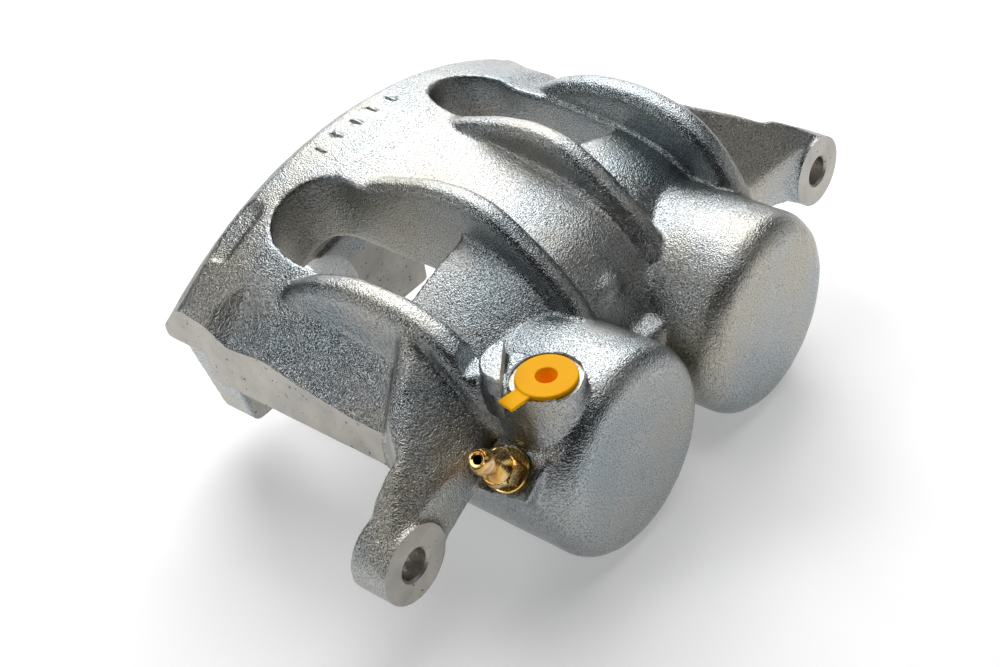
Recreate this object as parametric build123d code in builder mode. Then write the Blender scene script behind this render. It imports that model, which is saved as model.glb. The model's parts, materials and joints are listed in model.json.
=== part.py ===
"""Twin-piston floating brake caliper, without its carrier, pads and disc.

Origin: midway between the two guide bolt holes, on the machined inboard faces
of the lugs. +X runs along the caliper, +Y outboard over the disc, +Z away from
the wheel axis. The caliper is symmetric about x = 0, apart from the inlet and
bleed bosses, which are on the -X cylinder.
"""
from build123d import *
from math import cos, radians, sin, sqrt
import os

# ---------------------------------------------------------------- driving dimensions (mm)
# Guide bolt lugs and the arms that carry them
guide_bolt_span = 220.0
guide_bolt_hole_dia = 10.4
lug_dia = 26.0
lug_thickness = 14.0
arm_setback = 1.5
arm_root_depth = 30.0
arm_root_reach = 8.0

# Cylinders
bore_pitch = 74.8
bore_axis_z = -5.0
bore_dia = 54.0
cylinder_wall = 8.0
cylinder_end_y = -27.0
cylinder_floor = 9.0
cylinder_end_round = 8.5
web_inboard_y = -8.0
web_height = 30.0

# Disc gap and bridge
disc_gap_inboard_y = 45.0
disc_gap = 65.0
gap_radius = 155.0
gap_axis_z = -128.0
gap_corner_round = 7.0
wheel_axis_z = -108.0
crown_radius = 160.0
bridge_length = 170.0
bridge_end_bottom_z = 1.5
end_slope = 0.93
left_valley_z = 20.5
right_valley_z = 26.5
border_inboard_y = 97.0

# Fingers
finger_thickness = 15.0
finger_bottom_z = -26.0
finger_foot_x = 74.5
finger_shoulder_x = 83.0
finger_shoulder_z = 13.0
crown_lip = 4.0
border_notch_width = 24.0
border_notch_depth = 1.3
border_notch_reach = 13.0
border_notch_round = 4.0
finger_cutout_dia = 43.4
finger_cutout_draft = 28.0
finger_corner_round = 4.5

# Windows and ribs
window_inner_x = 24.5
window_outer_x = 56.0
window_wall = 1.0
rib_x = 19.75
outer_rib_x = 63.5
rib_thickness = 9.5
outer_rib_thickness = 11.5
rib_roundness = 0.43

# Inlet port for an M10 banjo bolt, with the block that stops the hose fitting from turning
inlet_x = -55.0
inlet_y = -10.2
inlet_face_z = 33.5
inlet_boss_dia = 22.6
inlet_hole_dia = 9.0
inlet_boss_bite = 6.0
inlet_tower_drop = 0.8
inlet_tower_depth = 20.0
inlet_tower_draft = 4.0
stop_block_reach = 12.6
stop_block_radius = 10.5
stop_block_thickness = 7.0
stop_block_shift = 2.5
stop_block_depth = 10.0
stop_block_height = 5.0
stop_block_turn = 35.0

# Bleed screw, M10 with an 11 mm hexagon
bleed_seat_x = -72.8
bleed_seat_y = -7.0
bleed_seat_z = 9.9
bleed_rise = 50.6
bleed_thread_dia = 10.0
bleed_thread_length = 9.0
bleed_hex = 11.0
bleed_hex_height = 8.0
bleed_nipple_dia = 6.8
bleed_length = 19.5
bleed_bore_dia = 3.0
bleed_collar = 1.2
bleed_drilling_depth = 30.0
bleed_boss_depth = 16.0
bleed_seat_gap = 0.6

# Pistons, seals and boots
piston_length = 69.5
piston_wall = 6.0
piston_floor = 8.0
piston_floor_gap = 1.5
piston_stroke = 24.0
piston_relief = 1.5
seal_width = 3.6
seal_depth = 3.0
seal_y = 33.0
boot_recess_wall = 4.5
boot_recess_depth = 6.0
boot_wall = 1.3
boot_reach = 5.2
boot_ring_wall = 1.2
boot_ring_width = 3.5

# Inlet plug
plug_flange_dia = 19.0
plug_flange_thickness = 1.6
plug_stem_length = 9.0
plug_wall = 1.2
plug_tab_length = 16.2
plug_tab_width = 6.4
plug_tab_turn = 170.0

# Fits
piston_clearance = 0.10
slip_clearance = 0.05
boot_sleeve_clearance = 0.15

# ---------------------------------------------------------------- places worked out from them
disc_gap_outboard_y = disc_gap_inboard_y + disc_gap
outboard_face_y = disc_gap_outboard_y + finger_thickness
half_bridge = bridge_length / 2
half_span = guide_bolt_span / 2
half_pitch = bore_pitch / 2
bore_floor_y = cylinder_end_y + cylinder_floor
piston_dia = bore_dia - 2 * piston_clearance
cylinder_dia = bore_dia + 2 * cylinder_wall
boot_recess_dia = bore_dia + 2 * boot_recess_wall
bore_centres = [(-half_pitch, bore_axis_z), (half_pitch, bore_axis_z)]
lug_centres = [(-half_span, 0), (half_span, 0)]
ROOM = 400.0


def across(y):
    """Plane square to the bores, at y: local x is X, local y is Z, and -amount extrudes outboard."""
    return Plane.XZ.offset(-y)


def crown_z(x, radius):
    """Height at x of a point that lies this far from the wheel axis."""
    return wheel_axis_z + sqrt(radius**2 - x**2)


def ring(outer_dia, inner_dia, y, width, centre_x):
    """Plain ring round a bore axis, from y outboard."""
    with BuildPart() as band:
        with BuildSketch(across(y)):
            with Locations((centre_x, bore_axis_z)):
                Circle(outer_dia / 2)
                Circle(inner_dia / 2, mode=Mode.SUBTRACT)
        extrude(amount=-width)
    return band.part


# ---------------------------------------------------------------- caliper housing
# Crown of the bridge, turned about the wheel axis: (distance outboard, radius). A smooth
# curve rises from the cylinders to the border, and straight runs shape the outboard edge.
crown_rise = [
    (-2.0, crown_radius - 44.0),
    (6.0, crown_radius - 27.0),
    (18.0, crown_radius - 14.5),
    (32.0, crown_radius - 8.0),
    (disc_gap_inboard_y + 5, crown_radius - 4.5),
    (border_inboard_y - 22, crown_radius - 2.2),
    (border_inboard_y - 7, crown_radius - 2.0),
]
crown_edge = [
    (border_inboard_y + 1, crown_radius),
    (outboard_face_y - 6.0, crown_radius),
    (outboard_face_y - 1.5, crown_radius - 2.8),
    (outboard_face_y + crown_lip, crown_radius - 8.5),
    (outboard_face_y + crown_lip, crown_radius - 11.5),
    (outboard_face_y, crown_radius - 14.0),
    (outboard_face_y, crown_radius - 55.0),
    (crown_rise[0][0], crown_radius - 55.0),
]


def end_face_top(valley_z):
    """Top edge of an end face, (distance outboard, height), closed well above the bridge."""
    return [
        (-20, 16),
        (42, 15.5),
        (64, 18.5),
        (border_inboard_y - 15, 22.5),
        (border_inboard_y + 1, valley_z),
        (border_inboard_y + 10, 26),
        (outboard_face_y + crown_lip + 1, 30),
        (outboard_face_y + crown_lip + 1, 100),
        (-20, 100),
    ]


notch_plane = Plane(
    origin=(-window_outer_x, outboard_face_y, crown_z(window_outer_x, crown_radius - border_notch_depth)),
    x_dir=(0, 1, 0),
    z_dir=(-window_outer_x, 0, crown_z(window_outer_x, crown_radius) - wheel_axis_z),
)

with BuildPart() as bridge:
    with BuildSketch(Plane.YZ):
        with BuildLine():
            rise = Spline([(y, wheel_axis_z + radius) for y, radius in crown_rise])
            edge = [(y, wheel_axis_z + radius) for y, radius in crown_edge]
            Polyline([rise @ 1, *edge, rise @ 0])
        make_face()
    revolve(axis=Axis((0, 0, wheel_axis_z), (0, 1, 0)))
    # the two machined end faces, and the underside between the cylinders and the arms
    with BuildSketch(across(0)):
        with BuildLine():
            Polyline(
                (-half_bridge, bridge_end_bottom_z),
                (-half_bridge, ROOM / 2),
                (half_bridge, ROOM / 2),
                (half_bridge, bridge_end_bottom_z),
                (half_bridge - 14, bridge_end_bottom_z),
                (half_bridge - 24, bore_axis_z),
                (-half_bridge + 24, bore_axis_z),
                (-half_bridge + 14, bridge_end_bottom_z),
                close=True,
            )
        make_face()
    extrude(amount=-ROOM, mode=Mode.INTERSECT)
    # sloping shoulders that run down to the top edges of the end faces
    for side, valley_z in ((-1, left_valley_z), (1, right_valley_z)):
        with BuildSketch(Plane.YZ.offset(side * half_bridge)):
            with BuildLine():
                Polyline(end_face_top(valley_z), close=True)
            make_face()
        extrude(amount=ROOM, dir=(-side, 0, end_slope), mode=Mode.SUBTRACT)
    # shallow notch in the outboard edge of the border, near the -X end
    with BuildSketch(notch_plane):
        RectangleRounded(2 * border_notch_reach, border_notch_width, radius=border_notch_round)
    extrude(amount=ROOM / 4, mode=Mode.SUBTRACT)
    # outboard of the disc gap, the fingers carry on from their shoulders down
    with BuildSketch(across(disc_gap_outboard_y)):
        with Locations((0, finger_shoulder_z - ROOM / 2)):
            Rectangle(ROOM, ROOM)
    extrude(amount=-ROOM, mode=Mode.SUBTRACT)

# Space for the disc and pads, with a rounded corner where the bridge turns down into the fingers.
with BuildPart() as disc_space:
    with BuildSketch(Plane.YZ):
        with Locations((disc_gap_inboard_y + disc_gap / 2, gap_axis_z + gap_radius / 2)):
            Rectangle(disc_gap, gap_radius)
        fillet(vertices().group_by(Axis.X)[-1].sort_by(Axis.Y)[-1], radius=gap_corner_round)
    revolve(axis=Axis((0, 0, gap_axis_z), (0, 1, 0)))

with BuildPart() as fingers:
    with BuildSketch(across(disc_gap_outboard_y)):
        with BuildLine():
            Polyline(
                (0, finger_bottom_z),
                (finger_foot_x, finger_bottom_z),
                (finger_shoulder_x, finger_shoulder_z),
                (finger_shoulder_x, crown_z(half_bridge, crown_radius - 12)),
                (0, crown_z(0, crown_radius - 30)),
                close=True,
            )
        make_face()
        mirror(about=Plane.YZ)
        fillet(vertices().group_by(Axis.Y)[0], radius=finger_corner_round)
    extrude(amount=-finger_thickness)

# Cutouts between the fingers, in line with the bores, narrower outboard by the casting's draft.
with BuildPart() as finger_cutouts:
    with BuildSketch(across(disc_gap_outboard_y)):
        with Locations(*bore_centres):
            Circle(finger_cutout_dia / 2)
        with Locations(*[(x, z - ROOM / 2) for x, z in bore_centres]):
            Rectangle(finger_cutout_dia, ROOM)
    extrude(amount=-(finger_thickness + crown_lip), taper=finger_cutout_draft)

with BuildPart() as cylinders:
    with BuildSketch(across(cylinder_end_y)):
        with Locations(*bore_centres):
            Circle(cylinder_dia / 2)
    extrude(amount=-(disc_gap_inboard_y - cylinder_end_y))
    fillet(edges().group_by(Axis.Y)[0], radius=cylinder_end_round)
    # web that ties the two cylinders together
    with BuildSketch(across(web_inboard_y)):
        with Locations((0, bore_axis_z)):
            Rectangle(bore_pitch, web_height)
    extrude(amount=-(disc_gap_inboard_y - web_inboard_y))

# Crest lines of the ribs that run over the bridge, from the border to the cylinders.
inner_rib_crest = [(94, 47), (72, 54), (54, 57.5), (38, 56), (21, 46), (8, 34), (1, 23)]
outer_rib_crest = [(90, 33), (70, 45.5), (48, 49.5), (28, 47), (14, 40), (4, 28), (-2, 17)]


def rib(centre_x, thickness, crest):
    """Rib standing at centre_x, rounded along its crest."""
    with BuildPart() as plate:
        with BuildSketch(Plane.YZ.offset(centre_x - thickness / 2)):
            with BuildLine():
                top = Spline(crest)
                Polyline(top @ 1, (crest[-1][0] + 22, 5), (crest[0][0], 20), top @ 0)
            make_face()
        extrude(amount=thickness)
        crest_edges = faces().filter_by(GeomType.EXTRUSION).edges().filter_by(GeomType.BSPLINE)
        fillet(crest_edges, radius=rib_roundness * thickness)
    return plate.part


# Arm that carries a lug, on the +X side: it slants down and thins towards the lug.
arm_outline = [
    (half_bridge - 25, 5),
    (half_bridge - 5, bridge_end_bottom_z),
    (half_span - 17, -3),
    (half_span - 7, -11),
    (half_span + 4, 12.4),
    (half_span - 1, 17),
    (half_span - 7, 21.5),
    (half_bridge + 6, 29),
    (half_bridge - 4, 36),
    (half_bridge - 20, 47),
    (half_bridge - 25, 47),
]

arm_back_normal = (0.55, 0.8, 0.24)
arm_top_normal = (0.07, -0.7, 0.7)
arm_top_z = 13.0

with BuildPart() as arm:
    with BuildSketch(across(arm_setback)):
        with BuildLine():
            Polyline(arm_outline, close=True)
        make_face()
    extrude(amount=-(arm_root_depth + arm_root_reach - arm_setback))
    with BuildSketch(Plane.XY.offset(-ROOM / 2)):
        with BuildLine():
            Polyline(
                (half_bridge - 25, 0),
                (half_span + lug_dia, 0),
                (half_span + lug_dia, lug_thickness),
                (half_span - lug_dia / 2, lug_thickness),
                (half_bridge, arm_root_depth),
                (half_bridge - 15, arm_root_depth + arm_root_reach),
                (half_bridge - 25, arm_root_depth + arm_root_reach),
                close=True,
            )
        make_face()
    extrude(amount=ROOM, mode=Mode.INTERSECT)
    # the back of the arm slants from the lug up to the outer rib
    split(bisect_by=Plane(origin=(half_bridge, arm_root_depth, 16), z_dir=arm_back_normal), keep=Keep.BOTTOM)
    # its top slants down inboard from the outer rib's crest
    split(bisect_by=Plane(origin=(half_span, arm_setback, arm_top_z), z_dir=arm_top_normal), keep=Keep.BOTTOM)
    with BuildSketch(across(0)):
        with Locations((half_span, 0)):
            Circle(lug_dia / 2)
    extrude(amount=-lug_thickness)

# Flat that the bleed screw stands on: local x runs inboard, local y up the slope.
bleed_axis = Vector(-cos(radians(bleed_rise)), 0, sin(radians(bleed_rise)))
bleed_plane = Plane(origin=(bleed_seat_x, bleed_seat_y, bleed_seat_z), x_dir=(0, -1, 0), z_dir=bleed_axis)
bleed_pad_outline = [(-16, -10), (9, -7), (11.8, 26), (-5.6, 10.7), (-13.7, 6.7), (-18.6, 7)]
inlet_plane = Plane(origin=(inlet_x, inlet_y, inlet_face_z))
inlet_boss_depth = inlet_face_z - bore_axis_z - bore_dia / 2 + inlet_boss_bite

# Steep-sided tower under the inlet's seat, down to the bleed screw's flat: (x, y) from the inlet's axis.
inlet_tower_outline = [(-11.5, 19.2), (-11, 1.2), (-5, -9.4), (5, -9.4), (9, 2.2), (5, 22.2)]

with BuildPart() as bosses:
    with BuildSketch(inlet_plane):
        Circle(inlet_boss_dia / 2)
    extrude(amount=-inlet_boss_depth)
    with BuildSketch(inlet_plane.offset(-inlet_tower_drop)):
        with BuildLine():
            Polyline(inlet_tower_outline, close=True)
        make_face()
    extrude(amount=-inlet_tower_depth, taper=-inlet_tower_draft)
    with BuildSketch(inlet_plane.rotated((0, 0, stop_block_turn)).offset(stop_block_height)):
        with Locations((stop_block_shift, stop_block_reach + stop_block_thickness - stop_block_radius)):
            Circle(stop_block_radius)
        with Locations((stop_block_shift, stop_block_reach - stop_block_radius)):
            Rectangle(4 * stop_block_radius, 2 * stop_block_radius, mode=Mode.SUBTRACT)
    extrude(amount=-stop_block_depth)
    with BuildSketch(bleed_plane):
        with BuildLine():
            Polyline(bleed_pad_outline, close=True)
        make_face()
    extrude(amount=-bleed_boss_depth)

with BuildPart() as windows:
    with BuildSketch(Plane.XY):
        for side in (-1, 1):
            with Locations((side * (window_inner_x + window_outer_x) / 2, 0)):
                width = window_outer_x - window_inner_x
                end_y = disc_gap_outboard_y - window_wall - width / 2
                with Locations((0, (disc_gap_inboard_y + end_y) / 2)):
                    Rectangle(width, end_y - disc_gap_inboard_y)
                with Locations((0, end_y)):
                    Circle(width / 2)
    extrude(amount=ROOM)

with BuildPart() as caliper_housing:
    add(bridge.part)
    add(cylinders.part)
    add(fingers.part)
    add(arm.part)
    add(arm.part.mirror(Plane.YZ))
    add(bosses.part)
    for side in (-1, 1):
        add(rib(side * rib_x, rib_thickness, inner_rib_crest))
        add(rib(side * outer_rib_x, outer_rib_thickness, outer_rib_crest))
    add(disc_space.part, mode=Mode.SUBTRACT)
    add(windows.part, mode=Mode.SUBTRACT)
    add(finger_cutouts.part, mode=Mode.SUBTRACT)
    # bores, with a groove for each seal and a recess for each boot
    with BuildSketch(across(bore_floor_y)):
        with Locations(*bore_centres):
            Circle(bore_dia / 2)
    extrude(amount=-(disc_gap_inboard_y - bore_floor_y), mode=Mode.SUBTRACT)
    with BuildSketch(across(seal_y - seal_width / 2)):
        with Locations(*bore_centres):
            Circle(bore_dia / 2 + seal_depth)
    extrude(amount=-seal_width, mode=Mode.SUBTRACT)
    with BuildSketch(across(disc_gap_inboard_y - boot_recess_depth)):
        with Locations(*bore_centres):
            Circle(boot_recess_dia / 2)
    extrude(amount=-(boot_recess_depth + boot_reach + 1), mode=Mode.SUBTRACT)
    # relief under the bridge, where the pistons move out over the disc gap
    with BuildSketch(across(disc_gap_inboard_y)):
        with Locations(*bore_centres):
            Circle(bore_dia / 2 + piston_relief)
    extrude(amount=-(piston_stroke + boot_reach + 4), mode=Mode.SUBTRACT)
    # guide bolt holes
    with BuildSketch(across(0)):
        with Locations(*lug_centres):
            Circle(guide_bolt_hole_dia / 2)
    extrude(amount=-lug_thickness, mode=Mode.SUBTRACT)
    # inlet and bleed drillings into the -X bore
    with BuildSketch(inlet_plane):
        Circle(inlet_hole_dia / 2)
    extrude(amount=-inlet_boss_depth, mode=Mode.SUBTRACT)
    with BuildSketch(bleed_plane):
        Circle(bleed_thread_dia / 2 + slip_clearance)
    extrude(amount=-(bleed_thread_length + bleed_seat_gap), mode=Mode.SUBTRACT)
    with BuildSketch(bleed_plane):
        Circle(bleed_bore_dia / 2)
    extrude(amount=-bleed_drilling_depth, mode=Mode.SUBTRACT)
caliper_housing.part.label = "caliper_housing"


# ---------------------------------------------------------------- pistons, seals, boots and boot rings
def piston(centre_x):
    """Hollow cup piston at rest against the bore floor, open towards the pads."""
    base_y = bore_floor_y + piston_floor_gap
    with BuildPart() as cup:
        with BuildSketch(across(base_y)):
            with Locations((centre_x, bore_axis_z)):
                Circle(piston_dia / 2)
        extrude(amount=-piston_length)
        chamfer(edges(), length=1.0)
        with BuildSketch(across(base_y + piston_floor)):
            with Locations((centre_x, bore_axis_z)):
                Circle(piston_dia / 2 - piston_wall)
        extrude(amount=-piston_length, mode=Mode.SUBTRACT)
        cavity_mouth = edges().filter_by(GeomType.CIRCLE).group_by(Axis.Y)[-1].sort_by(SortBy.RADIUS)[0]
        chamfer(cavity_mouth, length=1.2)
    return cup.part


def dust_boot(centre_x):
    """Boot with a band in its recess, one fold, and a lip that wipes the piston."""
    recess_y = disc_gap_inboard_y - boot_recess_depth
    fold_y = disc_gap_inboard_y + 1.0
    lip_y = disc_gap_inboard_y + boot_reach
    band = boot_recess_dia / 2
    sleeve = bore_dia / 2 + boot_sleeve_clearance
    lip = piston_dia / 2 + slip_clearance
    with BuildPart() as boot:
        with BuildSketch(Plane.XY.offset(bore_axis_z)):
            with BuildLine():
                Polyline(
                    (centre_x + band, recess_y),
                    (centre_x + band, disc_gap_inboard_y),
                    (centre_x + band - boot_wall, disc_gap_inboard_y),
                    (centre_x + band - boot_wall, recess_y + boot_wall),
                    (centre_x + sleeve + boot_wall, recess_y + boot_wall),
                    (centre_x + sleeve + boot_wall, fold_y),
                    (centre_x + sleeve + 2.4 * boot_wall, fold_y + boot_wall),
                    (centre_x + sleeve + 2.4 * boot_wall, fold_y + 2 * boot_wall),
                    (centre_x + lip + boot_wall, lip_y),
                    (centre_x + lip, lip_y),
                    (centre_x + lip, lip_y - boot_wall),
                    (centre_x + sleeve + 1.2 * boot_wall, fold_y + 1.6 * boot_wall),
                    (centre_x + sleeve + 1.2 * boot_wall, fold_y + 1.2 * boot_wall),
                    (centre_x + sleeve, fold_y),
                    (centre_x + sleeve, recess_y),
                    close=True,
                )
            make_face()
        revolve(axis=Axis((centre_x, 0, bore_axis_z), (0, 1, 0)))
    return boot.part


boot_ring_dia = boot_recess_dia - 2 * boot_wall
boot_ring_y = disc_gap_inboard_y - boot_recess_depth + boot_wall
bore_pieces = {}
for name, centre_x in (("left", -half_pitch), ("right", half_pitch)):
    seal_dia = bore_dia + 2 * seal_depth
    seal_hole = piston_dia + 2 * slip_clearance
    ring_hole = boot_ring_dia - 2 * boot_ring_wall
    bore_pieces["piston_" + name] = piston(centre_x)
    bore_pieces["piston_seal_" + name] = ring(seal_dia, seal_hole, seal_y - seal_width / 2, seal_width, centre_x)
    bore_pieces["dust_boot_" + name] = dust_boot(centre_x)
    bore_pieces["boot_ring_" + name] = ring(boot_ring_dia, ring_hole, boot_ring_y, boot_ring_width, centre_x)

# ---------------------------------------------------------------- bleed screw
# Outline above the hexagon: (radius, height along the screw).
nipple_outline = [
    (bleed_hex / 2 - 0.4, bleed_hex_height),
    (bleed_nipple_dia / 2 - 0.4, bleed_hex_height + 2.6),
    (bleed_nipple_dia / 2 - 0.4, bleed_length - 5.2),
    (bleed_nipple_dia / 2 + 0.4, bleed_length - 4.2),
    (bleed_nipple_dia / 2 + 0.4, bleed_length - 2.4),
    (bleed_nipple_dia / 2 - 0.4, bleed_length - 0.5),
    (bleed_nipple_dia / 2 - 0.8, bleed_length),
]
# Outline in the tapped hole, down to the conical seat.
shank_outline = [
    (bleed_bore_dia / 2 + 0.3, -bleed_thread_length - bleed_seat_gap / 2),
    (bleed_thread_dia / 2, -bleed_thread_length + 2.4),
    (bleed_thread_dia / 2, 0),
    (bleed_thread_dia / 2, bleed_collar),
]
# Half section of the screw: local x runs out from its axis, local y up along it.
bleed_section = Plane(origin=bleed_plane.origin, x_dir=bleed_plane.x_dir, z_dir=-bleed_plane.y_dir)

with BuildPart() as bleed_screw:
    with BuildSketch(bleed_section):
        with BuildLine():
            Polyline(
                (0, shank_outline[0][1]),
                *shank_outline,
                *nipple_outline,
                (0, bleed_length),
                close=True,
            )
        make_face()
    revolve(axis=Axis(bleed_plane.origin, bleed_plane.z_dir))
    with BuildSketch(bleed_plane.offset(bleed_collar)):
        RegularPolygon(bleed_hex / 2, 6, major_radius=False)
    extrude(amount=bleed_hex_height - bleed_collar)
    with BuildSketch(bleed_plane.offset(bleed_length)):
        Circle(bleed_bore_dia / 2)
    extrude(amount=-(bleed_length + bleed_thread_length - 3), mode=Mode.SUBTRACT)
bleed_screw.part.label = "bleed_screw"

# ---------------------------------------------------------------- inlet plug
with BuildPart() as inlet_plug:
    with BuildSketch(inlet_plane):
        Circle(plug_flange_dia / 2)
        with Locations(Location((0, 0, 0), (0, 0, plug_tab_turn))):
            with Locations((plug_tab_length / 2, 0)):
                Rectangle(plug_tab_length, plug_tab_width)
    extrude(amount=plug_flange_thickness)
    with BuildSketch(inlet_plane):
        Circle(inlet_hole_dia / 2 - slip_clearance)
    extrude(amount=-plug_stem_length)
    with BuildSketch(inlet_plane.offset(plug_flange_thickness)):
        Circle(inlet_hole_dia / 2 - plug_wall)
    extrude(amount=-(plug_flange_thickness + plug_stem_length - plug_wall), mode=Mode.SUBTRACT)
inlet_plug.part.label = "inlet_plug"

# ---------------------------------------------------------------- written parts
os.makedirs("parts", exist_ok=True)
export_step(caliper_housing.part, "parts/caliper_housing.step")
export_step(bleed_screw.part, "parts/bleed_screw.step")
export_step(inlet_plug.part, "parts/inlet_plug.step")
for name, piece in bore_pieces.items():
    piece.label = name
    export_step(piece, "parts/" + name + ".step")
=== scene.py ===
"""Looks for the twin-piston brake caliper: a rough, zinc-plated casting with machined faces, a yellow
passivated bleed screw and a moulded port plug. All lengths are in metres, in the part's own frame."""
import json
import math

import bpy
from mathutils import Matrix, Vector


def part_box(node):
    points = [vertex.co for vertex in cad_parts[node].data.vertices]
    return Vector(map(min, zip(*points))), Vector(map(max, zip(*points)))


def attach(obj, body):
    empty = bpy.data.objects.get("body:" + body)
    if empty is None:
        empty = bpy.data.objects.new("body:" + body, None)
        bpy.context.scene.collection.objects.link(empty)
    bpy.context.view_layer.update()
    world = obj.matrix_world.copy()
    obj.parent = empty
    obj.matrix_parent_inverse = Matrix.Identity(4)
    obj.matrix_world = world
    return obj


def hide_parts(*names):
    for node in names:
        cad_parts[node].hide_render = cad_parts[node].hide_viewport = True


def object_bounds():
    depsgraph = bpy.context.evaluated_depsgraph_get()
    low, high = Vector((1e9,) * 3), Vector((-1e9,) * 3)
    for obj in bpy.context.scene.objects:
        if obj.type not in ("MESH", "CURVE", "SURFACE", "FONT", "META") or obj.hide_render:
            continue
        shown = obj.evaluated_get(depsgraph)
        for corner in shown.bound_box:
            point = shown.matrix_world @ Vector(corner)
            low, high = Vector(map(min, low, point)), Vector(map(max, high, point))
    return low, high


MM = 0.001
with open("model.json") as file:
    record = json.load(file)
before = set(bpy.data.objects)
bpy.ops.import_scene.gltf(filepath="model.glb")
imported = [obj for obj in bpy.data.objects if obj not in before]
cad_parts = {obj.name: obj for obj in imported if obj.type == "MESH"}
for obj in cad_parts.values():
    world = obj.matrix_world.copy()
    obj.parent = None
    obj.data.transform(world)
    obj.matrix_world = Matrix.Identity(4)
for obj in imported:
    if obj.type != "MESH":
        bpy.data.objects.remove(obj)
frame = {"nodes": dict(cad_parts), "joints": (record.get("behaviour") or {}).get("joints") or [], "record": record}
cad_box = [list(corner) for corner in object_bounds()]
mounts = {mount["name"]: mount for mount in frame["record"]["mounts"]}
joints = {joint["name"]: joint for joint in frame["joints"]}


# ------------------------------------------------------------------ modelling helpers
def take(obj):
    """Leaves only this object selected and active."""
    bpy.ops.object.select_all(action="DESELECT")
    obj.select_set(True)
    bpy.context.view_layer.objects.active = obj


def edit(obj, mode="FACE"):
    """Opens the object in edit mode with nothing selected."""
    take(obj)
    bpy.ops.object.mode_set(mode="EDIT")
    bpy.ops.mesh.select_mode(type=mode)
    bpy.ops.mesh.select_all(action="DESELECT")


def pick(obj, parts, test):
    """Selects the vertices, edges or faces that pass the test, inside edit mode."""
    bpy.ops.object.mode_set(mode="OBJECT")
    for part in getattr(obj.data, parts):
        part.select = test(part)
    bpy.ops.object.mode_set(mode="EDIT")


def done():
    """Goes back to object mode."""
    bpy.ops.object.mode_set(mode="OBJECT")


def modify(obj, kind, **settings):
    """Adds a modifier with its settings and applies it at once."""
    take(obj)
    modifier = obj.modifiers.new(kind, kind)
    for name, value in settings.items():
        setattr(modifier, name, value)
    bpy.ops.object.modifier_apply(modifier=modifier.name)


def settle(obj, name):
    """Names a finished piece and puts its place into its mesh."""
    take(obj)
    bpy.ops.object.transform_apply(location=True, rotation=True, scale=True)
    obj.name = name
    obj.data.name = name
    return obj


def join(target, others):
    """Joins the others into the target."""
    bpy.ops.object.select_all(action="DESELECT")
    for other in others:
        other.select_set(True)
    target.select_set(True)
    bpy.context.view_layer.objects.active = target
    bpy.ops.object.join()


def rod(radius, start, axis, length, end_radius=None, sides=96):
    """Solid rod or cone from start along axis."""
    axis = Vector(axis).normalized()
    bpy.ops.object.select_all(action="DESELECT")
    bpy.ops.mesh.primitive_cone_add(
        vertices=sides,
        radius1=radius,
        radius2=radius if end_radius is None else end_radius,
        depth=length,
        location=Vector(start) + axis * length / 2,
        rotation=axis.to_track_quat("Z", "Y").to_euler(),
    )
    return settle(bpy.context.object, "rod")


def block(low, high):
    """Solid box between two corners."""
    bpy.ops.object.select_all(action="DESELECT")
    bpy.ops.mesh.primitive_cube_add(size=1, location=(Vector(low) + Vector(high)) / 2)
    cube = bpy.context.object
    cube.scale = Vector(high) - Vector(low)
    return settle(cube, "block")


def ball(radius, centre, scale=(1, 1, 1)):
    """Round or flattened lump."""
    bpy.ops.object.select_all(action="DESELECT")
    bpy.ops.mesh.primitive_ico_sphere_add(subdivisions=4, radius=radius, location=centre)
    lump = bpy.context.object
    lump.scale = scale
    return settle(lump, "lump")


def cut(target, cutter):
    """Cuts one solid out of another and removes the cutter."""
    modify(target, "BOOLEAN", operation="DIFFERENCE", object=cutter, solver="MANIFOLD")
    bpy.data.objects.remove(cutter)


def weld(target, extra):
    """Adds one solid to another and removes the extra."""
    modify(target, "BOOLEAN", operation="UNION", object=extra, solver="MANIFOLD")
    bpy.data.objects.remove(extra)


def turned(profile, origin, axis, sides=64):
    """Solid turned about an axis: a disc is extruded and resized through (radius, height) steps."""
    first_radius, first_height = profile[0]
    bpy.ops.object.select_all(action="DESELECT")
    bpy.ops.mesh.primitive_circle_add(
        vertices=sides, radius=first_radius, fill_type="NGON", location=(0, 0, 0)
    )
    piece = bpy.context.object
    bpy.ops.object.mode_set(mode="EDIT")
    bpy.ops.mesh.select_all(action="SELECT")
    bpy.ops.transform.translate(value=(0, 0, first_height))
    radius, height = first_radius, first_height
    for next_radius, next_height in profile[1:]:
        bpy.ops.mesh.extrude_region_move(TRANSFORM_OT_translate={"value": (0, 0, next_height - height)})
        share = next_radius / radius
        bpy.ops.transform.resize(value=(share, share, 1), center_override=(0, 0, next_height))
        radius, height = next_radius, next_height
    bpy.ops.mesh.select_all(action="SELECT")
    bpy.ops.mesh.normals_make_consistent(inside=False)
    done()
    piece.rotation_euler = Vector(axis).to_track_quat("Z", "Y").to_euler()
    piece.location = origin
    return settle(piece, "turned")


def finish_with(obj, *materials):
    """Gives the piece these materials alone, the first of them all over."""
    obj.data.materials.clear()
    for material in materials:
        obj.data.materials.append(material)
    for face in obj.data.polygons:
        face.material_index = 0


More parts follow.
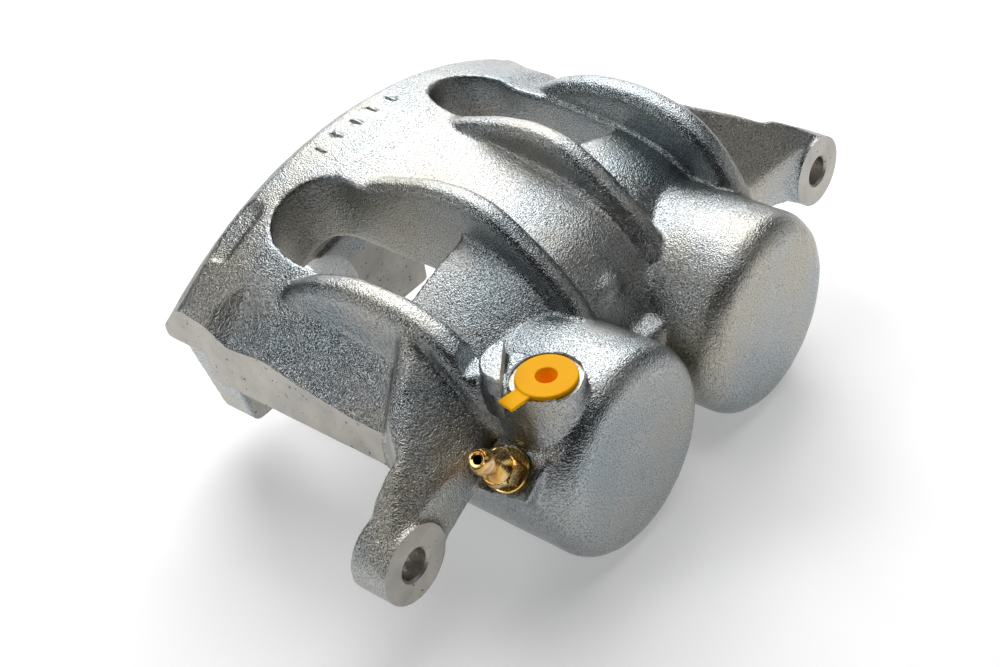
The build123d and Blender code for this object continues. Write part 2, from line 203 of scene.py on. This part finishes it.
# ------------------------------------------------------------------ places, from the frame
bolts = mounts["guide_bolts"]
bolt_x = bolts["dims"]["spacing_x_mm"] * MM / 2
bolt_radius = bolts["dims"]["hole_r_mm"] * MM
inlet = Vector(mounts["inlet_port"]["pos_m"])
bleed_seat = Vector(joints["bleed_screw_turn"]["pos_m"])
bleed_axis = Vector(joints["bleed_screw_turn"]["axis"]).normalized()
finger_face_y = mounts["finger_pad_face"]["pos_m"][1]
bores = {}
for side in ("left", "right"):
    low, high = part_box("piston_" + side)
    boot_low, boot_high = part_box("dust_boot_" + side)
    seal_low, seal_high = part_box("piston_seal_" + side)
    bores[side] = {
        "x": (low.x + high.x) / 2,
        "z": (low.z + high.z) / 2,
        "bore_radius": (high.x - low.x) / 2 + 0.1 * MM,
        "floor_y": low.y - 1.5 * MM,
        "boot_radius": (boot_high.x - boot_low.x) / 2,
        "boot_y": (boot_low.y, boot_high.y),
        "seal_radius": (seal_high.x - seal_low.x) / 2,
        "seal_y": (seal_low.y, seal_high.y),
    }
gap_y = bores["left"]["boot_y"][0] + 6 * MM
end_x = 85 * MM
lug_thickness = 14 * MM
lug_inner_x = 94 * MM
arm_clear_y = 31.5 * MM
ON_PLANE = 0.02 * MM
NEAR_PLANE = 0.05 * MM
STOP_TURN = math.radians(35)
STOP_REACH = 12.6 * MM
stop_way = Vector((-math.sin(STOP_TURN), math.cos(STOP_TURN), 0))


# ------------------------------------------------------------------ materials
def linear(colour):
    """sRGB hex to linear RGBA."""
    channels = [int(colour[i:i + 2], 16) / 255 for i in (1, 3, 5)]
    return tuple(c / 12.92 if c <= 0.04045 else ((c + 0.055) / 1.055) ** 2.4 for c in channels) + (1.0,)


def add_node(tree, kind, settings=None, **inputs):
    """Adds one node. Inputs are values, or (node, output name) pairs that are linked."""
    node = tree.nodes.new(kind)
    for name, value in (settings or {}).items():
        setattr(node, name, value)
    for name, value in inputs.items():
        socket = node.inputs[int(name[1:])] if name[0] == "_" else node.inputs[name.replace("_", " ")]
        if isinstance(value, tuple) and isinstance(value[0], bpy.types.Node):
            tree.links.new(value[0].outputs[value[1]], socket)
        else:
            socket.default_value = value
    return node


def new_material(name, **shader):
    """Material with its Principled shader's own constants set."""
    material = bpy.data.materials.new(name)
    material.use_nodes = True
    tree = material.node_tree
    principled = tree.nodes["Principled BSDF"]
    for socket, value in shader.items():
        principled.inputs[socket.replace("_", " ")].default_value = value
    return material, tree, principled


def ramp(tree, source, stops):
    """Colour ramp over (position, sRGB hex) stops."""
    node = add_node(tree, "ShaderNodeValToRGB", Fac=source)
    while len(node.color_ramp.elements) < len(stops):
        node.color_ramp.elements.new(0.5)
    for element, (position, colour) in zip(node.color_ramp.elements, stops):
        element.position = position
        element.color = linear(colour)
    return node


def per_size(size_mm):
    """Noise scale whose grains are about this many millimetres across."""
    return 1 / (size_mm * MM)


def bump(tree, height, distance_mm, strength, normal=None):
    """Bump of a real depth in millimetres."""
    node = add_node(tree, "ShaderNodeBump", Strength=strength, Distance=distance_mm * MM, Height=height)
    if normal is not None:
        tree.links.new(normal.outputs["Normal"], node.inputs["Normal"])
    return node


# Sand-cast iron under bright zinc plating: the sand's grains show as hard glints and black pits, and
# the plating's thickness shifts the grey from bluish to warm over a few centimetres.
cast_zinc, tree, shader = new_material("bright_zinc_on_sand_casting", Metallic=1.0)
place = add_node(tree, "ShaderNodeTexCoord")
patches = add_node(tree, "ShaderNodeTexNoise", Vector=(place, "Object"), Scale=per_size(42), Detail=2.0)
grain = add_node(
    tree, "ShaderNodeTexNoise", Vector=(place, "Object"), Scale=per_size(0.5), Detail=1.0, Roughness=0.6
)
grit = add_node(tree, "ShaderNodeTexNoise", Vector=(place, "Object"), Scale=per_size(1.3), Detail=1.0)
waves = add_node(tree, "ShaderNodeTexNoise", Vector=(place, "Object"), Scale=per_size(11), Detail=2.0)
tint = ramp(tree, (patches, "Fac"), [(0.34, "#A8B1B5"), (0.5, "#B7B9B8"), (0.66, "#BEBAAF")])
speckle = ramp(tree, (grain, "Fac"), [(0.30, "#6E7072"), (0.46, "#DADBDB"), (0.62, "#FFFFFF")])
coat = add_node(tree, "ShaderNodeMix", {"data_type": "RGBA", "blend_type": "MULTIPLY"}, _0=0.8)
tree.links.new(tint.outputs["Color"], coat.inputs[6])
tree.links.new(speckle.outputs["Color"], coat.inputs[7])
tree.links.new(coat.outputs[2], shader.inputs["Base Color"])
gloss = add_node(tree, "ShaderNodeMapRange", Value=(patches, "Fac"), _1=0.3, _2=0.7, _3=0.23, _4=0.33)
tree.links.new(gloss.outputs["Result"], shader.inputs["Roughness"])
low_bump = bump(tree, (waves, "Fac"), 0.8, 0.2)
grit_bump = bump(tree, (grit, "Fac"), 0.5, 0.32, low_bump)
grain_bump = bump(tree, (grain, "Fac"), 0.6, 0.5, grit_bump)
tree.links.new(grain_bump.outputs["Normal"], shader.inputs["Normal"])

# The same plating over milled iron: nearly smooth and warm grey, with fine tool marks and a few black
# pinholes where the cutter opened pores.
milled_zinc, tree, shader = new_material("zinc_on_milled_iron", Metallic=1.0)
place = add_node(tree, "ShaderNodeTexCoord")
cloud = add_node(tree, "ShaderNodeTexNoise", Vector=(place, "Object"), Scale=per_size(11), Detail=4.0)
pores = add_node(tree, "ShaderNodeTexNoise", Vector=(place, "Object"), Scale=per_size(1.3), Detail=2.0)
marks = add_node(tree, "ShaderNodeTexNoise", Vector=(place, "Object"), Scale=per_size(0.8), Detail=2.0)
base = ramp(tree, (cloud, "Fac"), [(0.35, "#A3A09A"), (0.65, "#BDB9B1")])
pinholes = ramp(tree, (pores, "Fac"), [(0.27, "#3A3734"), (0.33, "#FFFFFF")])
coat = add_node(tree, "ShaderNodeMix", {"data_type": "RGBA", "blend_type": "MULTIPLY"}, _0=1.0)
tree.links.new(base.outputs["Color"], coat.inputs[6])
tree.links.new(pinholes.outputs["Color"], coat.inputs[7])
tree.links.new(coat.outputs[2], shader.inputs["Base Color"])
gloss = add_node(tree, "ShaderNodeMapRange", Value=(cloud, "Fac"), _1=0.3, _2=0.7, _3=0.36, _4=0.5)
tree.links.new(gloss.outputs["Result"], shader.inputs["Roughness"])
marks_bump = bump(tree, (marks, "Fac"), 0.25, 0.5)
tree.links.new(marks_bump.outputs["Normal"], shader.inputs["Normal"])

# Turned steel with yellow chromate over zinc: gold that drifts to orange and violet as the film thickens.
yellow_zinc, tree, shader = new_material("yellow_chromated_steel", Metallic=1.0)
place = add_node(tree, "ShaderNodeTexCoord")
film = add_node(
    tree, "ShaderNodeTexNoise", Vector=(place, "Object"), Scale=per_size(5), Detail=2.0, Distortion=0.6
)
marks = add_node(tree, "ShaderNodeTexNoise", Vector=(place, "Object"), Scale=per_size(0.6), Detail=3.0)
stops = [(0.30, "#C98A5A"), (0.42, "#E0B056"), (0.58, "#E6CB8C"), (0.72, "#CF9A8C")]
colour = ramp(tree, (film, "Fac"), stops)
tree.links.new(colour.outputs["Color"], shader.inputs["Base Color"])
gloss = add_node(tree, "ShaderNodeMapRange", Value=(marks, "Fac"), _1=0.3, _2=0.7, _3=0.16, _4=0.3)
tree.links.new(gloss.outputs["Result"], shader.inputs["Roughness"])
marks_bump = bump(tree, (marks, "Fac"), 0.12, 0.4)
tree.links.new(marks_bump.outputs["Normal"], shader.inputs["Normal"])

# Injection-moulded polythene with a soft sheen and a little real subsurface scatter, plus a painted glow: a weak
# orange emission over the whole plug stands in for light showing through its thin edges.
plug_plastic, tree, shader = new_material(
    "moulded_yellow_polythene",
    Subsurface_Weight=0.05,
    IOR=1.51,
    Specular_IOR_Level=0.08,
    Emission_Strength=0.06,
)
shader.inputs["Subsurface Radius"].default_value = (1.0 * MM, 0.4 * MM, 0.05 * MM)
shader.inputs["Subsurface Scale"].default_value = 1.0
# painted glow: the plug gives off a faint orange light of its own, with no lamp behind it
shader.inputs["Emission Color"].default_value = linear("#FFB000")
place = add_node(tree, "ShaderNodeTexCoord")
flow = add_node(tree, "ShaderNodeTexNoise", Vector=(place, "Object"), Scale=per_size(7), Detail=3.0)
skin = add_node(tree, "ShaderNodeTexNoise", Vector=(place, "Object"), Scale=per_size(0.7), Detail=2.0)
colour = ramp(tree, (flow, "Fac"), [(0.35, "#FFB400"), (0.65, "#FFBC00")])
tree.links.new(colour.outputs["Color"], shader.inputs["Base Color"])
gloss = add_node(tree, "ShaderNodeMapRange", Value=(flow, "Fac"), _1=0.3, _2=0.7, _3=0.5, _4=0.6)
tree.links.new(gloss.outputs["Result"], shader.inputs["Roughness"])
skin_bump = bump(tree, (skin, "Fac"), 0.06, 0.3)
tree.links.new(skin_bump.outputs["Normal"], shader.inputs["Normal"])

# Ground and chrome-plated steel: mirror-like, with fine grinding lines round the piston.
chrome, tree, shader = new_material("ground_chrome_plate", Metallic=1.0)
place = add_node(tree, "ShaderNodeTexCoord")
stretch = add_node(
    tree, "ShaderNodeMapping", {"vector_type": "POINT"}, Vector=(place, "Object"), Scale=(1, 14, 1)
)
lines = add_node(tree, "ShaderNodeTexNoise", Vector=(stretch, "Vector"), Scale=per_size(4), Detail=3.0)
colour = ramp(tree, (lines, "Fac"), [(0.3, "#B5B8BC"), (0.7, "#CDD0D3")])
tree.links.new(colour.outputs["Color"], shader.inputs["Base Color"])
gloss = add_node(tree, "ShaderNodeMapRange", Value=(lines, "Fac"), _1=0.3, _2=0.7, _3=0.12, _4=0.24)
tree.links.new(gloss.outputs["Result"], shader.inputs["Roughness"])
line_bump = bump(tree, (lines, "Fac"), 0.05, 0.3)
tree.links.new(line_bump.outputs["Normal"], shader.inputs["Normal"])

# Moulded EPDM rubber: matt black-grey with a dusty bloom.
rubber, tree, shader = new_material("moulded_black_rubber")
place = add_node(tree, "ShaderNodeTexCoord")
bloom = add_node(tree, "ShaderNodeTexNoise", Vector=(place, "Object"), Scale=per_size(6), Detail=4.0)
skin = add_node(tree, "ShaderNodeTexNoise", Vector=(place, "Object"), Scale=per_size(0.5), Detail=2.0)
colour = ramp(tree, (bloom, "Fac"), [(0.35, "#1B1B1C"), (0.7, "#2B2A29")])
tree.links.new(colour.outputs["Color"], shader.inputs["Base Color"])
gloss = add_node(tree, "ShaderNodeMapRange", Value=(bloom, "Fac"), _1=0.3, _2=0.7, _3=0.55, _4=0.75)
tree.links.new(gloss.outputs["Result"], shader.inputs["Roughness"])
skin_bump = bump(tree, (skin, "Fac"), 0.05, 0.4)
tree.links.new(skin_bump.outputs["Normal"], shader.inputs["Normal"])

# Pressed plain steel ring: cold-rolled grey with a slight oil tint.
pressed_steel, tree, shader = new_material("pressed_plain_steel", Metallic=1.0)
place = add_node(tree, "ShaderNodeTexCoord")
oil = add_node(tree, "ShaderNodeTexNoise", Vector=(place, "Object"), Scale=per_size(8), Detail=3.0)
colour = ramp(tree, (oil, "Fac"), [(0.35, "#8C8A86"), (0.65, "#A5A39E")])
tree.links.new(colour.outputs["Color"], shader.inputs["Base Color"])
gloss = add_node(tree, "ShaderNodeMapRange", Value=(oil, "Fac"), _1=0.3, _2=0.7, _3=0.28, _4=0.42)
tree.links.new(gloss.outputs["Result"], shader.inputs["Roughness"])

# ------------------------------------------------------------------ casting
casting = bpy.data.objects.new("casting", frame["nodes"]["caliper_housing"].data.copy())
bpy.context.scene.collection.objects.link(casting)
casting.data.materials.clear()
edit(casting, "VERT")
bpy.ops.mesh.select_all(action="SELECT")
bpy.ops.mesh.remove_doubles(threshold=0.01 * MM)
done()


def on_end(face, side):
    """Milled end face of the bridge, past the arm."""
    return face.normal.x * side > 0.999 and abs(face.center.x * side - end_x) < NEAR_PLANE


def on_lug(face):
    """Milled face of a lug."""
    return face.normal.y < -0.999 and abs(face.center.y) < NEAR_PLANE and abs(face.center.x) > 95 * MM


def on_finger(face):
    """Milled inner face of the fingers."""
    return face.normal.y < -0.999 and abs(face.center.y - finger_face_y) < NEAR_PLANE


def on_port(face):
    """Milled seat round the inlet."""
    return face.normal.z > 0.999 and abs(face.center.z - inlet.z) < NEAR_PLANE


# milling stock is left on every face that is cut back after the casting's skin is made
STOCK = 1.6 * MM
stocks = [
    (lambda face: on_end(face, -1), (-STOCK, 0, 0)),
    (lambda face: on_end(face, 1), (STOCK, 0, 0)),
    (on_lug, (0, -STOCK, 0)),
    (on_finger, (0, -STOCK, 0)),
    (on_port, (0, 0, STOCK)),
]
for test, move in stocks:
    edit(casting)
    pick(casting, "polygons", test)
    bpy.ops.mesh.extrude_region_move(TRANSFORM_OT_translate={"value": move})
    done()

# holes are filled now, and drilled again once the skin is made
fillers = []
for bore in bores.values():
    start = (bore["x"], bore["floor_y"] - 1 * MM, bore["z"])
    depth = gap_y - bore["floor_y"] + 1.2 * MM
    fillers.append(rod(bore["boot_radius"] + 0.6 * MM, start, (0, 1, 0), depth))
for side in (-1, 1):
    start = (side * bolt_x, -STOCK, 0)
    fillers.append(rod(bolt_radius + 1.5 * MM, start, (0, 1, 0), lug_thickness + STOCK))
port_depth = 11 * MM
fillers.append(rod(7 * MM, inlet - Vector((0, 0, port_depth)), (0, 0, 1), port_depth + STOCK))
bleed_depth = 12 * MM
fillers.append(rod(6.5 * MM, bleed_seat - bleed_axis * bleed_depth, bleed_axis, bleed_depth))
join(casting, fillers)

# the sand casting's own lumps: a dome in the hollow between the cylinders and an oval pad on the border
details = [
    ball(6 * MM, (-3 * MM, 9 * MM, 23.5 * MM), (1.3, 1.0, 0.8)),
    ball(9 * MM, (37 * MM, 116 * MM, 42.5 * MM), (1.5, 0.7, 0.25)),
]
join(casting, details)

# pocket round the block beside the port, so that the block stands clear of the rib's foot
pocket = rod(14.5 * MM, (2.5 * MM, 10.1 * MM, 1.0 * MM), (0, 0, 1), 14 * MM, 17 * MM)
pocket.rotation_euler = (0, 0, STOP_TURN)
pocket.location = inlet
cut(casting, settle(pocket, "pocket"))

# worn raised pips in a row along the border's crown
CROWN_AXIS_Z = -108 * MM
PIP_RADIUS = 159.4 * MM
pips = []
for step in range(5):
    x = (-17 + 8.7 * step) * MM
    y = (111.8 + 0.8 * (step % 2)) * MM
    z = math.sqrt(PIP_RADIUS ** 2 - x * x) + CROWN_AXIS_Z
    pips.append(ball(1.5 * MM, (x, y, z), (0.75, 2.0, 0.85)))

# the skin: one closed surface, softened as sand leaves it
SKIN_GRID = 0.9 * MM
modify(casting, "REMESH", mode="VOXEL", voxel_size=SKIN_GRID)
modify(casting, "SMOOTH", factor=0.5, iterations=1)


def rise(value, start, width):
    """0 below start, 1 from start + width, and straight in between."""
    return min(max((value - start) / width, 0), 1)


# the port and the bleed screw's flat keep their edges, the other skin is softer, and the arms, the
# bridge's ends and the hollow between the cylinders run together in wide fillets
soft = casting.vertex_groups.new(name="soft_skin")
wide = casting.vertex_groups.new(name="wide_fillets")
for vertex in casting.data.vertices:
    x, y, z = vertex.co
    near_port = rise(-x, 44 * MM, 4 * MM) * rise(x, -84 * MM, 4 * MM)
    near_port *= rise(-y, -27 * MM, 4 * MM) * rise(z, 0, 4 * MM)
    soft.add([vertex.index], 1 - near_port, "REPLACE")
    roots = rise(abs(x), 66 * MM, 6 * MM) * rise(-abs(x), -101 * MM, 6 * MM) * rise(-y, -50 * MM, 8 * MM)
    hollow = rise(-abs(x), -15 * MM, 5 * MM) * rise(-y, -12 * MM, 6 * MM)
    weight = max(roots, hollow) * rise(z, -2 * MM, 4 * MM) * (1 - near_port)
    if weight > 0:
        wide.add([vertex.index], weight, "REPLACE")
modify(casting, "SMOOTH", factor=0.5, iterations=5, vertex_group="soft_skin")
modify(casting, "SMOOTH", factor=0.5, iterations=45, vertex_group="wide_fillets")
sand = bpy.data.textures.new("sand_waves", "CLOUDS")
sand.noise_scale = 7 * MM
sand.noise_depth = 2
modify(casting, "DISPLACE", texture=sand, texture_coords="LOCAL", strength=0.35 * MM, mid_level=0.6)
modify(casting, "DECIMATE", ratio=0.33)
for pip in pips:
    weld(casting, pip)

# milled faces are cut back to the frame's planes
reach = 200 * MM
for side in (-1, 1):
    near, far = sorted((side * end_x, side * reach))
    cut(casting, block((near, arm_clear_y, -reach), (far, reach, reach)))
cut(casting, block((-reach, -20 * MM, -14 * MM), (-lug_inner_x, 0, 14 * MM)))
cut(casting, block((lug_inner_x, -20 * MM, -14 * MM), (reach, 0, 14 * MM)))
cut(casting, block((-75 * MM, gap_y + 20 * MM, -60 * MM), (75 * MM, finger_face_y, 8 * MM)))
SPOT_FACE_RADIUS = 11.0 * MM
cut(casting, rod(SPOT_FACE_RADIUS, inlet, (0, 0, 1), 12 * MM))
for bore in bores.values():
    for radius, start_y, end_y in (
        (bore["bore_radius"], bore["floor_y"], gap_y + 1 * MM),
        (bore["boot_radius"], bore["boot_y"][0], bore["boot_y"][1] + 1 * MM),
        (bore["seal_radius"], bore["seal_y"][0], bore["seal_y"][1]),
        (bore["bore_radius"] + 1.5 * MM, gap_y - 1 * MM, gap_y + 34 * MM),
    ):
        cut(casting, rod(radius, (bore["x"], start_y, bore["z"]), (0, 1, 0), end_y - start_y, sides=128))
for side in (-1, 1):
    cut(casting, rod(bolt_radius, (side * bolt_x, -1 * MM, 0), (0, 1, 0), 20 * MM))
    mouth = (side * bolt_x, -0.3 * MM, 0)
    cut(casting, rod(bolt_radius + 1.1 * MM, mouth, (0, 1, 0), 1.4 * MM, bolt_radius - 0.3 * MM))
PORT_HOLE_RADIUS = 4.5 * MM
BLEED_HOLE_RADIUS = 5.05 * MM
cut(casting, rod(PORT_HOLE_RADIUS, inlet - Vector((0, 0, 22 * MM)), (0, 0, 1), 30 * MM))
cut(casting, rod(BLEED_HOLE_RADIUS, bleed_seat - bleed_axis * 9.6 * MM, bleed_axis, 12 * MM))

# block that stops the hose's end fitting: a D in plan, rough on top, with its flat milled beside the port
stop_block = rod(10.5 * MM, (2.5 * MM, 9.1 * MM, -9 * MM), (0, 0, 1), 15.2 * MM, 10.2 * MM, sides=48)
modify(stop_block, "BEVEL", width=0.9 * MM, segments=3, limit_method="ANGLE", angle_limit=math.radians(40))
cut(stop_block, block((-20 * MM, -20 * MM, -20 * MM), (30 * MM, STOP_REACH, 20 * MM)))
stop_block.rotation_euler = (0, 0, STOP_TURN)
stop_block.location = inlet
weld(casting, settle(stop_block, "stop_block"))


# the skin's grain doesn't stand out past the frame's box
low_corner, high_corner = cad_box
casting_box = block(low_corner, high_corner)
modify(casting, "BOOLEAN", operation="INTERSECT", object=casting_box, solver="MANIFOLD")
bpy.data.objects.remove(casting_box)
settle(casting, "sand_cast_housing")


def is_milled(face):
    """True where a cutter, not sand, made the surface."""
    centre = face.center
    if centre.y > arm_clear_y and abs(abs(centre.x) - end_x) < ON_PLANE:
        return True
    if abs(centre.y) < ON_PLANE and abs(centre.x) > 95 * MM:
        return True
    if abs(centre.y - finger_face_y) < ON_PLANE and centre.z < 8 * MM:
        return True
    if abs(centre.z - inlet.z) < ON_PLANE:
        return True
    beside_port = centre.z > 30 * MM and abs(centre.x + 62 * MM) < 13 * MM
    if beside_port and abs((centre - inlet).dot(stop_way) - STOP_REACH) < ON_PLANE:
        return True
    for side in (-1, 1):
        if math.hypot(centre.x - side * bolt_x, centre.z) < bolt_radius + 1.0 * MM and centre.y < 16 * MM:
            return True
    for bore in bores.values():
        distance = math.hypot(centre.x - bore["x"], centre.z - bore["z"])
        inside = bore["floor_y"] - 0.1 * MM < centre.y < gap_y + 9 * MM
        if inside and distance < bore["boot_radius"] + 0.1 * MM:
            return True
    return False


finish_with(casting, cast_zinc, milled_zinc)
milled_edges = set()
for face in casting.data.polygons:
    if is_milled(face):
        face.material_index = 1
        milled_edges.update(face.edge_keys)
take(casting)
bpy.ops.object.shade_smooth_by_angle(angle=math.radians(38))
edit(casting, "EDGE")
pick(casting, "edges", lambda edge: edge.key not in milled_edges)
bpy.ops.mesh.mark_sharp(clear=True)
done()
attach(casting, "caliper")
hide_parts("caliper_housing")

# ------------------------------------------------------------------ bleed screw
screw_profile = [
    (4.9, -9.0), (4.9, 0.0), (4.9, 0.6), (6.6, 0.6), (6.9, 0.9), (6.9, 1.6),
    (6.6, 2.0), (5.2, 2.0), (5.2, 7.9), (5.0, 8.2), (3.1, 10.6), (3.0, 11.2),
    (3.0, 14.2), (3.9, 15.2), (3.95, 16.6), (3.3, 18.6), (2.9, 19.3), (2.2, 19.45),
]
screw = turned([(radius * MM, height * MM) for radius, height in screw_profile], bleed_seat, bleed_axis)
hexagon = turned([(6.35 * MM, 2.0 * MM), (6.35 * MM, 8.0 * MM)], bleed_seat, bleed_axis, sides=6)
crown_profile = [(5.6 * MM, 1.0 * MM), (6.5 * MM, 2.0 * MM), (6.5 * MM, 7.2 * MM), (5.3 * MM, 8.1 * MM)]
crown = turned(crown_profile, bleed_seat, bleed_axis)
modify(hexagon, "BOOLEAN", operation="INTERSECT", object=crown, solver="MANIFOLD")
bpy.data.objects.remove(crown)
weld(screw, hexagon)
cut(screw, rod(1.5 * MM, bleed_seat - bleed_axis * 5 * MM, bleed_axis, 26 * MM))
cut(screw, rod(0.4 * MM, bleed_seat + bleed_axis * 18.3 * MM, bleed_axis, 1.4 * MM, 2.5 * MM))
modify(screw, "BEVEL", width=0.14 * MM, segments=2, limit_method="ANGLE", angle_limit=math.radians(32))
finish_with(screw, yellow_zinc)
take(screw)
bpy.ops.object.shade_smooth_by_angle(angle=math.radians(40))
settle(screw, "turned_bleed_screw")
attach(screw, "bleed_screw")
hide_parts("bleed_screw")

# ------------------------------------------------------------------ port plug
plug_profile = [(4.4, -8.8), (4.4, 0.05), (9.3, 0.05), (9.5, 0.35), (9.5, 1.2), (9.2, 1.58), (4.0, 1.58)]
plug = turned([(radius * MM, height * MM) for radius, height in plug_profile], inlet, (0, 0, 1))
tab_turn = math.radians(170)
tab = block((6 * MM, -3.0 * MM, 0.1 * MM), (16.1 * MM, 3.0 * MM, 1.15 * MM))
tab.rotation_euler = (0, 0, tab_turn)
tab.location = inlet
settle(tab, "tab")
weld(plug, tab)
cut(plug, rod(3.3 * MM, inlet - Vector((0, 0, 7.6 * MM)), (0, 0, 1), 12 * MM))
modify(plug, "REMESH", mode="VOXEL", voxel_size=0.22 * MM)
modify(plug, "SMOOTH", factor=0.5, iterations=5)
finish_with(plug, plug_plastic)
take(plug)
bpy.ops.object.shade_smooth()
settle(plug, "moulded_port_plug")
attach(plug, "inlet_plug")
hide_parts("inlet_plug")

# ------------------------------------------------------------------ CAD pieces that keep their shape
finishes = {"piston": chrome, "piston_seal": rubber, "dust_boot": rubber, "boot_ring": pressed_steel}
for kind, material in finishes.items():
    for side in ("left", "right"):
        node = frame["nodes"][kind + "_" + side]
        node.data.materials.clear()
        node.data.materials.append(material)

# ------------------------------------------------------------------ studio
floor_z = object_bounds()[0].z
bpy.ops.object.select_all(action="DESELECT")
bpy.ops.mesh.primitive_plane_add(size=8, location=(0, 0, floor_z))
floor = bpy.context.object
floor.name = "studio_floor"
# Matt white studio paper, that glows a little so it stays pale past the lamps' reach.
paper, tree, shader = new_material("matt_white_paper", Roughness=0.9, Emission_Strength=0.3)
shader.inputs["Emission Color"].default_value = (1.0, 1.0, 1.0, 1.0)
place = add_node(tree, "ShaderNodeTexCoord")
fibre = add_node(tree, "ShaderNodeTexNoise", Vector=(place, "Object"), Scale=per_size(30), Detail=2.0)
colour = ramp(tree, (fibre, "Fac"), [(0.3, "#F4F4F4"), (0.7, "#F7F7F7")])
tree.links.new(colour.outputs["Color"], shader.inputs["Base Color"])
floor.data.materials.append(paper)


def softbox(name, centre, aim, size, watts, colour="#FFFFFF"):
    """Square soft light at centre that points at aim."""
    data = bpy.data.lights.new(name, "AREA")
    data.shape = "RECTANGLE"
    data.size, data.size_y = size
    data.energy = watts
    data.color = linear(colour)[:3]
    lamp = bpy.data.objects.new(name, data)
    bpy.context.scene.collection.objects.link(lamp)
    lamp.location = centre
    lamp.rotation_euler = (Vector(aim) - Vector(centre)).to_track_quat("-Z", "Y").to_euler()
    return lamp


softbox("overhead_softbox", (0.3, 0.0, 1.5), (0, 0, 0), (1.1, 0.9), 7)
softbox("back_softbox", (0.95, 0.85, 0.95), (0, 0, 0), (1.4, 1.15), 25)
softbox("edge_softbox", (-0.68, 0.6, 0.74), (0, 0, 0), (0.36, 0.36), 1.9)
softbox("front_softbox", (0.5, -0.66, 0.52), (0, 0, 0), (0.45, 0.45), 0.5)
softbox("left_softbox", (-1.3, 0.7, 0.12), (0, 0, 0), (0.9, 0.3), 0.8, "#DCE8F2")

world = bpy.data.worlds.new("pale_room")
bpy.context.scene.world = world
world.use_nodes = True
world.node_tree.nodes["Background"].inputs["Color"].default_value = linear("#E4E8EC")
world.node_tree.nodes["Background"].inputs["Strength"].default_value = 0.03

camera_data = bpy.data.cameras.new("camera")
camera_data.lens = 61.87
camera_data.sensor_width = 36
camera = bpy.data.objects.new("camera", camera_data)
bpy.context.scene.collection.objects.link(camera)
camera.location = (-0.32404, -0.26751, 0.35991)
camera.rotation_euler = (math.radians(50.083), math.radians(7.739), math.radians(-51.013))
bpy.context.scene.camera = camera
bpy.context.scene.view_settings.view_transform = "Standard"
